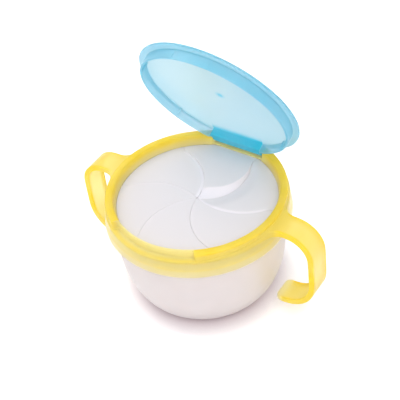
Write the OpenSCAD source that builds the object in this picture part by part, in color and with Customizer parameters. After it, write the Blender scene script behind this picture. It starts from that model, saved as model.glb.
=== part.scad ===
// Toddler snack container: a rounded bowl, a push-fit collar with two hook
// handles, a soft diaphragm cut into six swirled flaps, and a hinged cap.
// Millimetres. +Z is up, the origin is the middle of the bowl's base, the hinge
// is at +Y, the finger recess at -Y and the handles are at +X and -X.

/* [Overall] */
// Height of the collar's rim above the table
rim_top = 65.4; // [60:0.1:75]
// Outer radius of the collar's raised rim
rim_r = 48.4; // [48:0.1:48.6]

/* [Bowl] */
// Outer radius of the bowl's upper wall
bowl_r = 46; // [45.8:0.1:46.2]
// Wall thickness of the bowl
bowl_wall = 1.6; // [1.2:0.1:2]
// Radius of the flat the bowl stands on
bowl_base_r = 29.5; // [26:0.5:33]
// Height at which the rounded foot runs out into the straight wall
bowl_round_h = 35; // [28:1:42]
// Radius of the shallow recess under the base
bowl_recess_r = 25; // [20:0.5:26]
// Outer radius of the bowl's snap flange
flange_r = 47.9; // [47.6:0.05:47.9]

/* [Collar] */
// Outer radius at the bottom of the skirt
skirt_r = 50.4; // [50:0.1:52]
// Depth of the skirt's bottom edge below the rim
skirt_depth = 14.8; // [13:0.1:16]
// Depth of the shoulder below the rim
shoulder_depth = 4.9; // [4.7:0.1:5]
// Wall thickness of the skirt
skirt_wall = 1.3; // [1.1:0.1:1.3]
// Half angle of the finger recess at the front
recess_half_angle = 31.4; // [20:0.1:40]
// Half width of the hinge gap at the back
gap_half = 15.8; // [15.8:0.1:16.4]

/* [Handles] */
// Distance from the axis to the outermost face of a handle
handle_reach = 72.5; // [70:0.5:76]
// Thickness of the handle strap
strap_t = 3; // [2.4:0.1:3.4]
// Width of the handle strap
strap_w = 13.8; // [10:0.2:16]
// Outer radius of the upper bend
upper_bend_r = 15.2; // [13:0.1:17]
// Outer radius of the lower bend
lower_bend_r = 19.5; // [17:0.1:21]
// Angle that the lower bend turns through before the strap ends
hook_turn = 100; // [80:1:112]

/* [Flaps] */
// Number of flaps in the diaphragm
flap_count = 6; // [6:1:6]
// Distance from the axis to the end of each slit
slit_end_r = 39.7; // [37:0.1:39.8]
// Radius of the arc that each slit follows
slit_arc_r = 32.2; // [30:0.1:40]
// Width of a slit
slit_w = 0.44; // [0.4:0.02:0.8]
// Thickness of the flaps
flap_t = 1.2; // [1:0.1:1.4]
// Plan angle of the first slit's end
first_slit_angle = 13; // [0:1:59]

/* [Lid] */
// Radius of the lid's top plate
lid_r = 46.4; // [45:0.1:47]
// Height of the lid's crown above its flat edge
crown = 2.4; // [1:0.1:3]
// Outer radius of the plug ring under the plate
plug_r = 42.8; // [42:0.1:42.8]
// Depth of the plug ring below the rim
plug_depth = 5.6; // [4:0.1:5.8]
// Half width of the hinge lug
lug_half = 15.5; // [15:0.1:15.5]
// Angle by which the lid stands open
open_angle = 67.6; // [0:0.1:110]

/* [Hidden] */
$fn = 180;
eps = 0.01;

// Levels, measured down from the rim
lip_z = -6.2;        // underside of the collar's inner lip, top of the flaps
seat_z = -7.8;       // top of the bowl
flange_low_z = -9.4; // underside of the bowl's flange
gap_floor_z = -5.2;  // floor of the hinge gap

// Collar
inner_top_r = 44.3;   // mouth at the rim
lip_r = 43;           // mouth at the lip
inner_wall_t = 1.3;
outer_wall_t = 1.2;
gap_inner_y = 41;     // straight edge of the hinge gap's floor
end_block = 3.6;      // solid ends of the hollow rim, where the pins seat
recess_end_angle = 2; // solid ends of the hollow rim at the finger recess
recess_wall_r = 45.4; // outside of the single wall in the recess
root_fillet = 8;      // fillets where a handle leaves the collar
ledge_top = -2.4;     // the shoulder rises to this level at each handle
ledge_end_x = 25;     // and is back at its own level here

// Bowl
bowl_h = rim_top + seat_z;
foot_h = 0.8;
floor_t = 1.6;

// Diaphragm
pleat_r = 46.9;       // outside of the diaphragm
seal_r = 44.3;        // outside of the seal that hangs inside the bowl
seal_t = 1.1;
seal_depth = 2.4;
key_r = 46.7;         // locating bead that stands in the hollow rim
key_t = 0.95;
key_h = 2.4;
key_front_angle = 36; // the bead stops short of the finger recess
key_back_half = 20.6; // and of the solid ends at the hinge
seat_gap = 0.05;
slit_step = 360 / flap_count;
hex_apothem = slit_end_r * cos(slit_step / 2);
hinge_z = lip_z - flap_t / 2;
root_r = flap_t / 2 - 0.05; // round root on which a flap turns
root_gap = root_r + 0.1;     // from the chord to the edge of the diaphragm
root_half = hex_apothem * tan(slit_step / 2) - 2;

// Lid
plate_t = 1.5;
plate_gap = 0.05;
crown_out_r = 42;     // the crown runs out into the flat edge here, on top
crown_in_r = 40.5;    // and here, underneath
crown_steps = 6;
plug_t = 1.3;
axis_y = 43.6;
axis_z = -1.5;
barrel_r = 3;
lug_front_y = 38.4;
lug_depth = 4.2;
lid_back_y = 45.6;    // straight back edge over the lug
lid_corner_y = 41.2;  // the plate is cut back here beside the lug
pin_r = 1;
bore_r = 1.05;
pin_len = 1.6;
bore_len = 1.9;
thin_sector = 51;     // plan angle each side of the hinge where the plug is thin
rib_angles = [51, 115];
rib_w = 1.2;
rib_out = 0.8;
rib_lift = 0.3;       // the ribs end just short of the plug's edge
catch_half = 14;      // plan angle each side of the catch at the front
catch_cut = 0.45;     // depth of the catch and of the thin sector
catch_top = -0.6;

// Everything named "at the rim" is measured from the rim's height.
module at_rim() {
    translate([0, 0, rim_top]) children();
}

// A prism over a sector of half angle a about the direction dir.
module wedge(a, dir, z0, z1, reach = 70) {
    rotate([0, 0, dir]) translate([0, 0, z0]) linear_extrude(z1 - z0)
        polygon([[0, 0], [reach * cos(a), -reach * sin(a)],
                 [reach * cos(a), reach * sin(a)]]);
}

module ring(r_in, r_out, z0, z1) {
    rotate_extrude() translate([r_in, z0]) square([r_out - r_in, z1 - z0]);
}

// Rounded foot: an elliptical quarter from the base flat up to the wall.
function foot_curve(r, base, low, high) =
    [for (a = [90:-7.5:0]) [base + (r - base) * cos(a), high - (high - low) * sin(a)]];

module bowl() {
    inner_r = bowl_r - bowl_wall;
    inner_low = foot_h + floor_t;
    outline = concat(
        [[0, foot_h], [bowl_recess_r, foot_h], [bowl_recess_r + foot_h, 0]],
        foot_curve(bowl_r - 0.4, bowl_base_r, 0, bowl_round_h),
        [[bowl_r, bowl_h + flange_low_z - seat_z - 1.4],
         [flange_r, bowl_h + flange_low_z - seat_z],
         [flange_r, bowl_h - 0.8], [flange_r - 0.5, bowl_h], [inner_r, bowl_h]]);
    hollow = foot_curve(inner_r - 0.4, bowl_base_r - 0.8, inner_low, bowl_round_h);
    inner = [for (i = [len(hollow) - 1:-1:0]) hollow[i]];
    color([0.93, 0.9, 0.9]) rotate_extrude()
        polygon(concat(outline, inner, [[0, inner_low]]));
}

// The rim is an inverted channel; below the shoulder the skirt flares out to a
// small bead that catches under the bowl's flange.
module collar_section() {
    channel_out = rim_r - outer_wall_t;
    channel_in = inner_top_r + inner_wall_t;
    skirt_top_r = rim_r + 0.8;
    polygon([
        [lip_r, lip_z], [inner_top_r, -0.5], [inner_top_r + 0.5, 0],
        [rim_r - 0.5, 0], [rim_r, -0.5], [rim_r, -shoulder_depth],
        [skirt_top_r - 0.3, -shoulder_depth], [skirt_top_r, -shoulder_depth - 0.3],
        [skirt_r, -skirt_depth], [skirt_r - skirt_wall, -skirt_depth],
        [skirt_r - 2, -10.9], [flange_r + 0.05, -10.5], [flange_r + 0.05, -10],
        [skirt_r - 2.1, -9.7], [skirt_top_r - skirt_wall, lip_z - 0.7],
        [pleat_r + 0.1, lip_z], [channel_out, lip_z], [channel_out, -1.3],
        [channel_in, -1.3], [lip_r + 1.4, lip_z]]);
}

// One handle: out from the shoulder, round the upper bend, down, and back
// towards the bowl in an open hook.
module strap_profile() {
    upper_x = handle_reach - upper_bend_r;
    upper_z = -2.1 - upper_bend_r;
    lower_x = handle_reach - lower_bend_r;
    lower_z = -34.5;
    mid_r = lower_bend_r - strap_t / 2;
    translate([rim_r - 2, -2.1 - strap_t]) square([upper_x - rim_r + 2, strap_t]);
    polygon([[rim_r - 1, -2.2], [rim_r - 1, -0.9], [rim_r + 3, -1.1],
             [rim_r + 8, -2.2]]);
    polygon([[rim_r - 1, -5], [rim_r + 0.6, -8], [rim_r + 2.2, -6], [rim_r + 5.5, -5]]);
    translate([upper_x, upper_z]) intersection() {
        difference() {
            circle(upper_bend_r);
            circle(upper_bend_r - strap_t);
        }
        square(upper_bend_r + 1);
    }
    translate([handle_reach - strap_t, lower_z]) square([strap_t, upper_z - lower_z]);
    translate([lower_x, lower_z]) intersection() {
        difference() {
            circle(lower_bend_r);
            circle(lower_bend_r - strap_t);
        }
        polygon([[0, 0], [40, 0], [40, -40], [40 * cos(hook_turn), -40]]);
    }
    translate([lower_x + mid_r * cos(hook_turn), lower_z - mid_r * sin(hook_turn)])
        circle(strap_t / 2);
}

module handle() {
    root_y = strap_w / 2 + root_fillet;
    root_x = sqrt(pow(rim_r + root_fillet, 2) - pow(root_y, 2));
    difference() {
        union() {
            rotate([90, 0, 0]) translate([0, 0, -strap_w / 2])
                linear_extrude(strap_w) strap_profile();
            translate([0, 0, -5]) linear_extrude(2.9) difference() {
                translate([rim_r - 4, -root_y]) square([root_x - rim_r + 4, 2 * root_y]);
                for (side = [-1, 1])
                    translate([root_x, side * root_y]) circle(root_fillet);
            }
        }
        translate([0, 0, -30]) cylinder(r = rim_r - 0.6, h = 40);
        translate([0, 0, -skirt_depth]) rotate_extrude()
            polygon([[0, 0], [skirt_r - 0.5, 0], [rim_r, skirt_depth - shoulder_depth - 0.5],
                     [0, skirt_depth - shoulder_depth - 0.5]]);
    }
}

// The shoulder climbs towards each handle: a narrow ring under a leaning plane.
module ledge() {
    lean = atan((ledge_top + shoulder_depth) / (rim_r - ledge_end_x));
    intersection() {
        ring(rim_r - 0.6, rim_r + 0.7, lip_z + 0.2, 0);
        translate([ledge_end_x, 0, -shoulder_depth]) rotate([0, -lean, 0])
            translate([-5, -60, -10]) cube([60, 120, 10]);
    }
}

module hinge_bores() {
    for (side = [-1, 1])
        translate([side * gap_half, axis_y, axis_z]) rotate([0, 90 * side, 0])
            translate([0, 0, -1]) cylinder(r = bore_r, h = bore_len + 1);
}

// Fills the hollow rim where it has to be solid.
module rim_fill() {
    rotate_extrude() polygon([
        [lip_r + 1, lip_z], [inner_top_r + 0.8, -1], [rim_r - 0.6, -1],
        [rim_r - 0.6, lip_z]]);
}

// The finger recess with its end walls, and the ends of the rim at the hinge.
module solid_zones() {
    wedge(recess_half_angle + recess_end_angle, -90, -8, 2);
    for (side = [-1, 1])
        translate([side * (gap_half + end_block / 2 - 0.5), 40, -4])
            cube([end_block + 1, 20, 10], center = true);
}

module collar() {
    color([0.97, 0.85, 0.33]) at_rim() difference() {
        union() {
            difference() {
                union() {
                    rotate_extrude() collar_section();
                    intersection() {
                        rim_fill();
                        solid_zones();
                    }
                    intersection() {
                        ring(lip_r - 4, rim_r - 0.5, lip_z, gap_floor_z + 1);
                        translate([-gap_half - 1, gap_inner_y, -10])
                            cube([2 * gap_half + 2, 20, 10]);
                    }
                }
                intersection() {
                    ring(recess_wall_r, rim_r + 5, -shoulder_depth, 3);
                    wedge(recess_half_angle, -90, -shoulder_depth - 1, 4);
                }
                translate([-gap_half, 30, gap_floor_z]) cube([2 * gap_half, 30, 10]);
            }
            for (side = [0, 1]) mirror([side, 0, 0]) {
                ledge();
                handle();
            }
        }
        hinge_bores();
    }
}

// Circle that slit number i follows; it passes through the centre.
module slit_circle(i, r) {
    tangent = first_slit_angle + i * slit_step - asin(slit_end_r / (2 * slit_arc_r));
    rotate(tangent + 90) translate([slit_arc_r, 0]) circle(r);
}

// Middle direction of the chord on which flap number i turns.
function chord_angle(i) = first_slit_angle + (i + 0.5) * slit_step;

// A rod along the chord of flap number i.
module chord_rod(i, r, half) {
    rotate([0, 0, chord_angle(i)]) translate([hex_apothem, 0, hinge_z])
        rotate([90, 0, 0]) cylinder(r = r, h = 2 * half, center = true);
}

module diaphragm() {
    key_z = lip_z + key_h;
    color([0.93, 0.92, 0.92]) at_rim() difference() {
        union() {
            rotate_extrude() polygon([
                [0, lip_z - flap_t], [seal_r - seal_t, lip_z - flap_t],
                [seal_r - seal_t, seat_z - seal_depth + 0.3],
                [seal_r - seal_t + 0.3, seat_z - seal_depth],
                [seal_r - 0.4, seat_z - seal_depth],
                [seal_r, seat_z - seal_depth + 0.6], [seal_r, seat_z + seat_gap],
                [pleat_r, seat_z + seat_gap], [pleat_r, lip_z], [0, lip_z]]);
            difference() {
                ring(key_r - key_t, key_r, lip_z - 0.5, key_z);
                wedge(key_front_angle, -90, -20, 5);
                translate([-key_back_half, 20, -20]) cube([2 * key_back_half, 40, 30]);
            }
        }
        rotate([0, 0, first_slit_angle]) translate([0, 0, -20])
            cylinder(r = slit_end_r + root_gap / cos(slit_step / 2), h = 30,
                     $fn = flap_count);
    }
}

// Flap number i lies between slits i and i + 1 and turns on its chord.
module flap(i) {
    color([0.93, 0.92, 0.93]) at_rim() union() {
        translate([0, 0, lip_z - flap_t]) linear_extrude(flap_t) difference() {
            intersection() {
                slit_circle(i, slit_arc_r - slit_w / 2);
                rotate(chord_angle(i)) translate([0, -slit_end_r])
                    square([hex_apothem, 2 * slit_end_r]);
            }
            slit_circle(i + 1, slit_arc_r + slit_w / 2);
        }
        chord_rod(i, root_r, root_half);
    }
}

// Half of a shallow crown: height falls with the square of the radius.
function crown_curve(reach, low) =
    [for (i = [0:crown_steps]) let (u = i / crown_steps)
        [reach * u, low + crown * (1 - u * u)]];

module plate() {
    under = crown_curve(crown_in_r, 0);
    difference() {
        translate([0, 0, plate_gap]) rotate_extrude() polygon(concat(
            crown_curve(crown_out_r, plate_t),
            [[lid_r - 0.5, plate_t], [lid_r, plate_t - 0.5], [lid_r, 0.3],
             [lid_r - 0.3, 0]],
            [for (i = [crown_steps:-1:0]) under[i]]));
        for (side = [0, 1]) mirror([side, 0, 0])
            translate([lug_half, lid_corner_y, -1]) cube([20, 20, 5]);
        translate([-50, lid_back_y, -1]) cube([100, 20, 5]);
    }
}

// The plug ring stops inside the lug. It is thin beside the lug, and a shallow
// catch at the front holds the lid shut.
module plug() {
    difference() {
        ring(plug_r - plug_t, plug_r, -plug_depth, plate_gap + eps);
        translate([0.5 - lug_half, 30, -10]) cube([2 * lug_half - 1, 20, 20]);
        intersection() {
            ring(plug_r - 2 * plug_t, plug_r - plug_t + catch_cut, -10, 2);
            wedge(thin_sector, 90, -10, 2);
        }
        intersection() {
            ring(plug_r - catch_cut, plug_r + 1, -10, catch_top);
            wedge(catch_half, -90, -11, 2);
        }
    }
}

// The lid as it sits when shut; lid() swings it open about the pins.
module lid_shut() {
    plate();
    plug();
    plug_ribs();
    lug();
}

module plug_ribs() {
    for (side = [-1, 1])
        for (a = rib_angles)
            rotate([0, 0, 90 + side * a])
                translate([plug_r - plug_t - rib_out, -rib_w / 2, -plug_depth + rib_lift])
                    cube([rib_out + plug_t - 0.4, rib_w, plug_depth - rib_lift + 0.5]);
}

module lug() {
    translate([-lug_half, lug_front_y, -lug_depth])
        cube([2 * lug_half, axis_y - lug_front_y, lug_depth + plate_t / 2]);
    translate([0, axis_y, axis_z]) rotate([0, 90, 0]) {
        cylinder(r = barrel_r, h = 2 * lug_half, center = true);
        cylinder(r = pin_r, h = 2 * (lug_half + pin_len), center = true);
    }
}

module lid() {
    color([0.5, 0.79, 0.91]) at_rim() translate([0, axis_y, axis_z])
        rotate([-open_angle, 0, 0]) translate([0, -axis_y, -axis_z]) lid_shut();
}

bowl();
collar();
diaphragm();
flap(0);  // flap_1
flap(1);  // flap_2
flap(2);  // flap_3
flap(3);  // flap_4
flap(4);  // flap_5
flap(5);  // flap_6
lid();
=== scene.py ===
# %% [markdown]
# # A toddler snack container
# The object is a rounded bowl in milky polypropylene, a yellow collar with two hook
# handles, a soft diaphragm cut into six swirled flaps, and a blue lid that stands open.
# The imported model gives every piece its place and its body. This file gives each piece
# its moulded shape and its finish, one piece at a time, in the order a hand would take
# the object apart: bowl, collar, lid, flaps, and the hidden edge of the diaphragm.

# %% Load the frame
import math

import bpy
import numpy as np
from mathutils import Matrix, Vector


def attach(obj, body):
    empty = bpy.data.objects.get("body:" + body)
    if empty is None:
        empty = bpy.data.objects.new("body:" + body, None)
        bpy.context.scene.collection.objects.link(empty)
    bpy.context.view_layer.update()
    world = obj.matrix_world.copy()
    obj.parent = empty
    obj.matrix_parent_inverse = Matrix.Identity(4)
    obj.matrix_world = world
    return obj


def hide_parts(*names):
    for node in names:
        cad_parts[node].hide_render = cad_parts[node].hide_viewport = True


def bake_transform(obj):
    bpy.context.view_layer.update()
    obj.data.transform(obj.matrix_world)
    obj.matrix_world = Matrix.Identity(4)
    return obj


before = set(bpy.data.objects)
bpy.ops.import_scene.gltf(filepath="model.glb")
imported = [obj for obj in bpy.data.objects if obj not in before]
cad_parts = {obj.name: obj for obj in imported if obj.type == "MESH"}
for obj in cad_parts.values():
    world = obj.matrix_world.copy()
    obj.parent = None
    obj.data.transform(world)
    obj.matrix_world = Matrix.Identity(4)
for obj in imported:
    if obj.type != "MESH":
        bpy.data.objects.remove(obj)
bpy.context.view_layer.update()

MM = 0.001                 # lengths below are in millimetres, as on a drawing

# %% [markdown]
# The view comes first, because everything is judged through it. A small thing is seen
# best through a long lens, from above and to one side, where its parts don't hide each
# other. The camera is held with a slight roll, so its matrix is built from three turns:
# azimuth and elevation point it, roll tips it, and a last small turn puts the middle of
# the rim at its place in the frame.

# %% Camera
RIM = 65.4                 # height of the rim above the table
VIEW_AZIMUTH = 38.2        # degrees from straight in front, towards +X
VIEW_ELEVATION = 41.9
VIEW_ROLL = -7.96
VIEW_DISTANCE = 576.6      # from the middle of the rim
FRAME_PIXELS = 400
FOCAL_PIXELS = 1100
RIM_CENTRE_PIXEL = (195.9, 188.8)
SENSOR_MM = 36


def view_axes(azimuth, elevation):
    """Columns are the camera's right, up and back: right is (cos a, sin a, 0), back is
    (sin a cos e, -cos a cos e, sin e), and up is back x right."""
    a, e = math.radians(azimuth), math.radians(elevation)
    right = Vector((math.cos(a), math.sin(a), 0))
    back = Vector((math.sin(a) * math.cos(e), -math.cos(a) * math.cos(e), math.sin(e)))
    return Matrix((right, back.cross(right), back)).transposed()


half = FRAME_PIXELS / 2
aim = Vector((RIM_CENTRE_PIXEL[0] - half, half - RIM_CENTRE_PIXEL[1], -FOCAL_PIXELS))
recentre = Vector((0, 0, -1)).rotation_difference(aim).to_matrix()
axes = view_axes(VIEW_AZIMUTH, VIEW_ELEVATION)
turn = axes @ Matrix.Rotation(math.radians(VIEW_ROLL), 3, "Z") @ recentre.transposed()
camera = bpy.data.objects.new("camera", bpy.data.cameras.new("camera"))
camera.data.sensor_width = SENSOR_MM
camera.data.lens = SENSOR_MM * FOCAL_PIXELS / FRAME_PIXELS
place = Vector((0, 0, RIM * MM)) + axes.col[2] * VIEW_DISTANCE * MM
camera.matrix_world = Matrix.Translation(place) @ turn.to_4x4()
bpy.context.scene.collection.objects.link(camera)
bpy.context.scene.camera = camera
print("camera at", tuple(round(c, 3) for c in place), "lens", camera.data.lens, "mm")

# %% [markdown]
# Materials are node trees. Two small helpers keep them readable: one turns an sRGB hex
# value into the linear colour that shaders expect, and one adds a node with its
# settings and links.

# %% Material helpers
def linear(code, alpha=1.0):
    """sRGB hex to linear: c / 12.92 up to 0.04045, else ((c + 0.055) / 1.055) ** 2.4."""
    c = np.array([int(code[i:i + 2], 16) for i in (1, 3, 5)]) / 255
    low, high = c / 12.92, ((c + 0.055) / 1.055) ** 2.4
    return (*np.where(c <= 0.04045, low, high).tolist(), alpha)


def add_node(tree, kind, inputs={}, **settings):
    """Adds a node, sets its settings, and sets or links each named or numbered input."""
    node = tree.nodes.new(kind)
    for name, value in settings.items():
        setattr(node, name, value)
    for key, value in inputs.items():
        if isinstance(value, bpy.types.NodeSocket):
            tree.links.new(value, node.inputs[key])
        else:
            node.inputs[key].default_value = value
    return node


def new_material(name):
    """An empty node tree with its output node."""
    material = bpy.data.materials.new(name)
    material.use_nodes = True
    material.node_tree.nodes.clear()
    output = add_node(material.node_tree, "ShaderNodeOutputMaterial")
    return material, material.node_tree, output


print("white is", linear("#ffffff"), "and mid grey is", linear("#808080"))

# %% [markdown]
# The stage is a plain pale board in an even white room. A white background is a matter
# of colour, not of more light: camera, glossy and transmission rays see the room as
# white, and only the light that falls on things is as weak as a colour needs to look the
# way it is written.

# %% Room
bpy.context.scene.view_settings.view_transform = "Standard"
ROOM_LIGHT = 0.8
ROOM_COLOUR = "#fdfbff"


def seen_rays(tree):
    """1 for camera, glossy and transmission rays, 0 for the light that falls on things."""
    path = add_node(tree, "ShaderNodeLightPath")
    first = add_node(tree, "ShaderNodeMath", {0: path.outputs["Is Camera Ray"],
                     1: path.outputs["Is Glossy Ray"]}, operation="MAXIMUM")
    return add_node(tree, "ShaderNodeMath", {0: first.outputs[0],
                    1: path.outputs["Is Transmission Ray"]}, operation="MAXIMUM").outputs[0]


world = bpy.data.worlds.new("white_room")
world.use_nodes = True
tree = world.node_tree
tree.nodes.clear()
room = add_node(tree, "ShaderNodeBackground", {"Color": linear(ROOM_COLOUR),
                "Strength": ROOM_LIGHT})
white = add_node(tree, "ShaderNodeBackground", {"Color": (1, 1, 1, 1), "Strength": 1.0})
either = add_node(tree, "ShaderNodeMixShader", {0: seen_rays(tree), 1: room.outputs[0],
                  2: white.outputs[0]})
add_node(tree, "ShaderNodeOutputWorld", {"Surface": either.outputs[0]})
bpy.context.scene.world = world
print("the room lights things at", ROOM_LIGHT, "and is seen at 1")

# %% [markdown]
# The floor is a board with matt white paint: all its light is scattered, with no gloss.
# It adds a small glow for the rays that see the room as white, so it turns white like
# the room and still keeps the object's shadow. Such an exposure would wash out the thin
# dark line where the bowl stands, so a shadow is painted into the board's colour, darker
# towards whatever stands close to it.

# %% Floor
FLOOR_HALF = 3000
FLOOR_GLOW = 0.28
BOARD_COLOUR = (0.95, 0.95, 0.95, 1)
# the painted shadow: how near a piece must be, and what colour the board turns there
PAINTED_SHADOW_MM = 13            # how near a piece must be to the board to darken it
PAINTED_SHADOW_COLOUR = (0.40, 0.30, 0.32, 1)

floor_paint, tree, output = new_material("matt_white_paint")
# painted shadow: ambient occlusion darkens the board's colour, and its glow, near the object
near = add_node(tree, "ShaderNodeAmbientOcclusion", {"Distance": PAINTED_SHADOW_MM * MM})
shade = add_node(tree, "ShaderNodeMix", {0: near.outputs["AO"], 6: PAINTED_SHADOW_COLOUR,
                 7: BOARD_COLOUR}, data_type="RGBA").outputs[2]
diffuse = add_node(tree, "ShaderNodeBsdfDiffuse", {"Color": shade})
glow_on = add_node(tree, "ShaderNodeMath", {0: seen_rays(tree), 1: FLOOR_GLOW},
                   operation="MULTIPLY")
glow = add_node(tree, "ShaderNodeEmission", {"Color": shade, "Strength": glow_on.outputs[0]})
both = add_node(tree, "ShaderNodeAddShader", {0: diffuse.outputs[0], 1: glow.outputs[0]})
tree.links.new(both.outputs[0], output.inputs["Surface"])

floor_mesh = bpy.data.meshes.new("floor")
corners = np.array([(-1, -1, 0), (1, -1, 0), (1, 1, 0), (-1, 1, 0)]) * FLOOR_HALF * MM
floor_mesh.from_pydata(corners.tolist(), [], [(0, 1, 2, 3)])
floor = bpy.data.objects.new("floor", floor_mesh)
floor.data.materials.append(floor_paint)
bpy.context.scene.collection.objects.link(floor)
print("floor", 2 * FLOOR_HALF * MM, "m across")

# %% [markdown]
# Two square lamps shape the light. One stands above and to the left, and throws the soft
# shadow to the right. The other is broader and high in front, so that its light reaches
# under the open lid and leaves no shadow that the view can see.

# %% Lamps
LAMPS = {                  # place in metres, side in metres, watts, colour
    "overhead": ((-0.7, 0.1, 1.1), 0.7, 3.8, "#fffaf5"),
    "front_fill": ((0.8, -0.8, 1.4), 0.9, 11.5, "#ffffff"),
}


def soft_lamp(name, place, size, watts, colour):
    """A square area lamp at a place in metres, facing the middle of the object."""
    lamp = bpy.data.objects.new(name, bpy.data.lights.new(name, "AREA"))
    lamp.data.size = size
    lamp.data.energy = watts
    lamp.data.color = linear(colour)[:3]
    towards = Vector((0, 0, RIM * MM)) - Vector(place)
    facing = towards.to_track_quat("-Z", "Y").to_matrix().to_4x4()
    lamp.matrix_world = Matrix.Translation(place) @ facing
    bpy.context.scene.collection.objects.link(lamp)
    print(name, watts, "W,", size, "m square")


for name, (place, size, watts, colour) in LAMPS.items():
    soft_lamp(name, place, size, watts, colour)

# %% [markdown]
# Every piece here is a moulding, so every piece is one closed skin: a grid of points
# whose rows are stations along the piece and whose columns go round it. One helper turns
# a section about the axis, as a lathe does, and two more list the faces of a grid and
# close its ends.

# %% Grids
MIRRORED = np.array([-1, 1, 1])    # both halves of the object are alike, left and right


def grid_faces(rows, columns, wrap_rows=False):
    """Quads of a grid numbered row by row, whose last column joins its first. Each quad
    takes (row, col), (row, col + 1), (row + 1, col + 1), (row + 1, col)."""
    r = np.arange(rows if wrap_rows else rows - 1)[:, None]
    c = np.arange(columns)[None, :]
    down, along = (r + 1) % rows, (c + 1) % columns
    quads = [r * columns + c, r * columns + along, down * columns + along, down * columns + c]
    return np.stack(np.broadcast_arrays(*quads), -1).reshape(-1, 4)


def capped(points):
    """A grid (rows, columns, 3) closed at both ends by a fan to the middle of the end row."""
    rows, columns = points.shape[:2]
    ends = points[[0, -1]].mean(1)
    verts = np.concatenate([points.reshape(-1, 3), ends])
    ring = np.arange(columns)
    ahead = (ring + 1) % columns
    first = np.stack([ahead, ring, np.full(columns, rows * columns)], -1)
    base = (rows - 1) * columns
    last = np.stack([base + ring, base + ahead, np.full(columns, rows * columns + 1)], -1)
    return verts, grid_faces(rows, columns).tolist() + first.tolist() + last.tolist()


def around(section, angles):
    """Turns a section of (radius, height) pairs about Z: (r cos a, r sin a, z)."""
    r, z = section[:, 0, None], section[:, 1, None]
    a = np.radians(angles)[None, :]
    return np.stack([r * np.cos(a), r * np.sin(a), z + 0 * a], -1)


def eased(t):
    """0 below 0, 1 above 1, and 3 t^2 - 2 t^3 between, so it starts and ends level."""
    t = np.clip(t, 0, 1)
    return t * t * (3 - 2 * t)


print("a tube of 3 rows and 4 columns has", len(grid_faces(3, 4)), "faces")

# %% [markdown]
# A last helper makes the object. Points are written in millimetres and become metres in
# one place. A piece may carry numbers on its points, such as how much pigment the eye
# looks through there, and its material reads them by name.

# %% Pieces
def new_piece(name, verts, faces, material, smooth_levels=0, **numbers):
    """A mesh object from points in millimetres, smooth shaded. Its faces already look
    outwards, because every grid here is numbered so that they do. Each further argument
    is a number per point, kept under its own name."""
    mesh = bpy.data.meshes.new(name)
    mesh.from_pydata((np.asarray(verts) * MM).tolist(), [], faces)
    mesh.validate()
    mesh.shade_smooth()
    mesh.materials.append(material)
    for label, values in numbers.items():
        kept = mesh.attributes.new(label, "FLOAT", "POINT")
        kept.data.foreach_set("value", np.asarray(values, np.float32).ravel())
    piece = bpy.data.objects.new(name, mesh)
    bpy.context.scene.collection.objects.link(piece)
    if smooth_levels:
        sub = piece.modifiers.new("smooth", "SUBSURF")
        sub.levels = sub.render_levels = smooth_levels
    print(name, len(mesh.vertices), "points,", len(mesh.polygons), "faces")
    return piece


print("a length of 1 here is", MM, "m in the scene")

# %% [markdown]
# All four mouldings come out of steel moulds whose faces were roughened by sparks. The
# grain is too fine to see one by one, but it turns a mirror into a satin sheen, and the
# melt cools unevenly, so the sheen drifts from place to place. Bump and roughness from
# two noises, one fine and one slow, give just that to every plastic here.

# %% Moulded surface
GRAIN_MM = 0.9             # finer on the real mould, drawn coarse enough to show
GRAIN_DEPTH_MM = 0.006
PATCH_MM = 16              # how far the melt cools evenly before its tone drifts
PATCH_RANGE = (0.3, 0.7)   # the noise values that count as 0 and 1


def moulded_skin(tree):
    """The normal of a spark-eroded mould's fine grain, and a slow 0 to 1 drift."""
    place = add_node(tree, "ShaderNodeTexCoord").outputs["Object"]
    grain = add_node(tree, "ShaderNodeTexNoise", {"Vector": place,
                     "Scale": 1 / (GRAIN_MM * MM), "Detail": 2.0})
    bump = add_node(tree, "ShaderNodeBump", {"Strength": 1.0, "Height": grain.outputs["Fac"],
                    "Distance": GRAIN_DEPTH_MM * MM})
    slow = add_node(tree, "ShaderNodeTexNoise", {"Vector": place,
                    "Scale": 1 / (PATCH_MM * MM), "Detail": 1.0})
    drift = add_node(tree, "ShaderNodeMapRange", {"Value": slow.outputs["Fac"],
                     "From Min": PATCH_RANGE[0], "From Max": PATCH_RANGE[1]})
    return bump.outputs["Normal"], drift.outputs["Result"]


print("grain of", GRAIN_MM, "mm,", GRAIN_DEPTH_MM, "mm deep")

# %% [markdown]
# The lid and the collar are polypropylene (PP) with a little pigment in it. A wall does
# two things at once: part of the light goes straight through and loses some colour on
# the way, and part is scattered by the pigment and comes back as the plastic's own
# bright colour. One glass shader or one opaque shader can't do both, so the material is
# a mix of the two. Two numbers on each point steer it: pigment says how deep the colour
# is there, little in a thin panel and much where a wall is thick, doubled or seen edge
# on, and haze says what share of the light is scattered instead of going through.

# %% Pigmented polypropylene
PP_IOR = 1.49
CLEAR_IOR = 1.12           # the wall is thin and cloudy, so hardly any bending is seen
LIT_THROUGH = 0.45         # share of the scattered light that comes from the far side
UNEVEN = (0.9, 1.08)       # how far the drift thins and thickens the pigment
PP_SATIN = (-0.04, 0.06)   # what the drift takes from and adds to the roughness


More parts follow.
